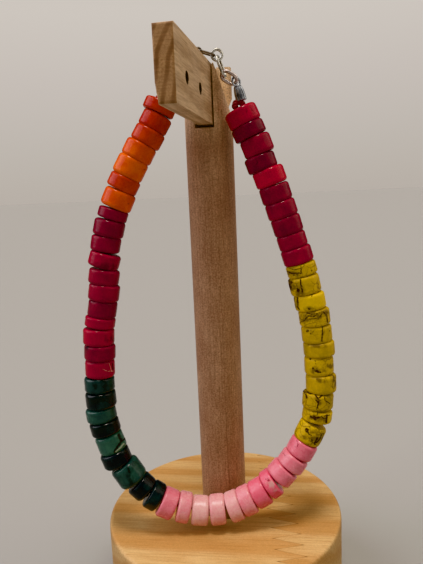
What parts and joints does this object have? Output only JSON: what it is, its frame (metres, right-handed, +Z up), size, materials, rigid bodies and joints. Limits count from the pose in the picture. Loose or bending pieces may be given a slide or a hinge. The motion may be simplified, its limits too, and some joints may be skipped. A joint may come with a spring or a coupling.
{
  "type": "beaded bracelet on a wooden stand",
  "caption": "Bracelet of dyed stone disc beads in bands of colour, hung by its clasp and chain over the flat arm of a small wooden stand.",
  "frame": {"origin": "centre of the round base's underside, on the post's axis", "axes": "+Z up along the post; the bracelet's loop faces -Y; +X is to the right when the loop is seen from the front"},
  "size_m": [0.0527, 0.0552, 0.1151],
  "materials": {
    "pine": "sanded, bare",
    "dowel": "sanded, bare, fine pores",
    "arm_wood": "sawn, bare",
    "orange_stone": "dyed and polished",
    "crimson_stone": "dyed and polished",
    "green_stone": "dyed and polished",
    "pink_stone": "dyed and polished",
    "yellow_stone": "dyed and polished, brown veins",
    "red_stone": "dyed and polished",
    "cord": "braided",
    "silver": "plated, polished"
  },
  "bodies": {
    "root": {"base": "pine", "post": "dowel", "arm": "arm_wood", "bead_orange_1": "orange_stone", "bead_orange_2": "orange_stone", "bead_orange_3": "orange_stone", "bead_orange_4": "orange_stone", "bead_orange_5": "orange_stone", "bead_orange_6": "orange_stone", "bead_orange_7": "orange_stone", "run_crimson_1": "crimson_stone", "run_crimson_2": "crimson_stone", "run_crimson_3": "crimson_stone", "bead_green_1": "green_stone", "bead_green_2": "green_stone", "bead_green_3": "green_stone", "bead_green_4": "green_stone", "bead_green_5": "green_stone", "bead_green_6": "green_stone", "bead_green_7": "green_stone", "bead_green_8": "green_stone", "bead_green_9": "green_stone", "bead_pink_1": "pink_stone", "bead_pink_2": "pink_stone", "bead_pink_3": "pink_stone", "bead_pink_4": "pink_stone", "bead_pink_5": "pink_stone", "bead_pink_6": "pink_stone", "bead_pink_7": "pink_stone", "bead_pink_8": "pink_stone", "bead_pink_9": "pink_stone", "bead_pink_10": "pink_stone", "bead_pink_11": "pink_stone", "bead_yellow_1": "yellow_stone", "bead_yellow_2": "yellow_stone", "bead_yellow_3": "yellow_stone", "run_yellow_1": "yellow_stone", "run_yellow_2": "yellow_stone", "bead_red_1": "red_stone", "bead_red_2": "red_stone", "bead_red_3": "red_stone", "bead_red_4": "red_stone", "bead_red_5": "red_stone", "bead_red_6": "red_stone", "bead_red_7": "red_stone", "bead_red_8": "red_stone", "bead_red_9": "red_stone", "bead_red_10": "red_stone", "thread_1": "cord", "thread_2": "cord", "thread_3": "cord", "cord_loop_left": "cord", "cord_loop_right": "cord", "crimp_left": "silver", "crimp_right": "silver", "round_ring": "silver", "jump_ring": "silver", "upper_link": "silver", "lower_link": "silver", "clasp": "silver"}
  },
  "joints": []
}
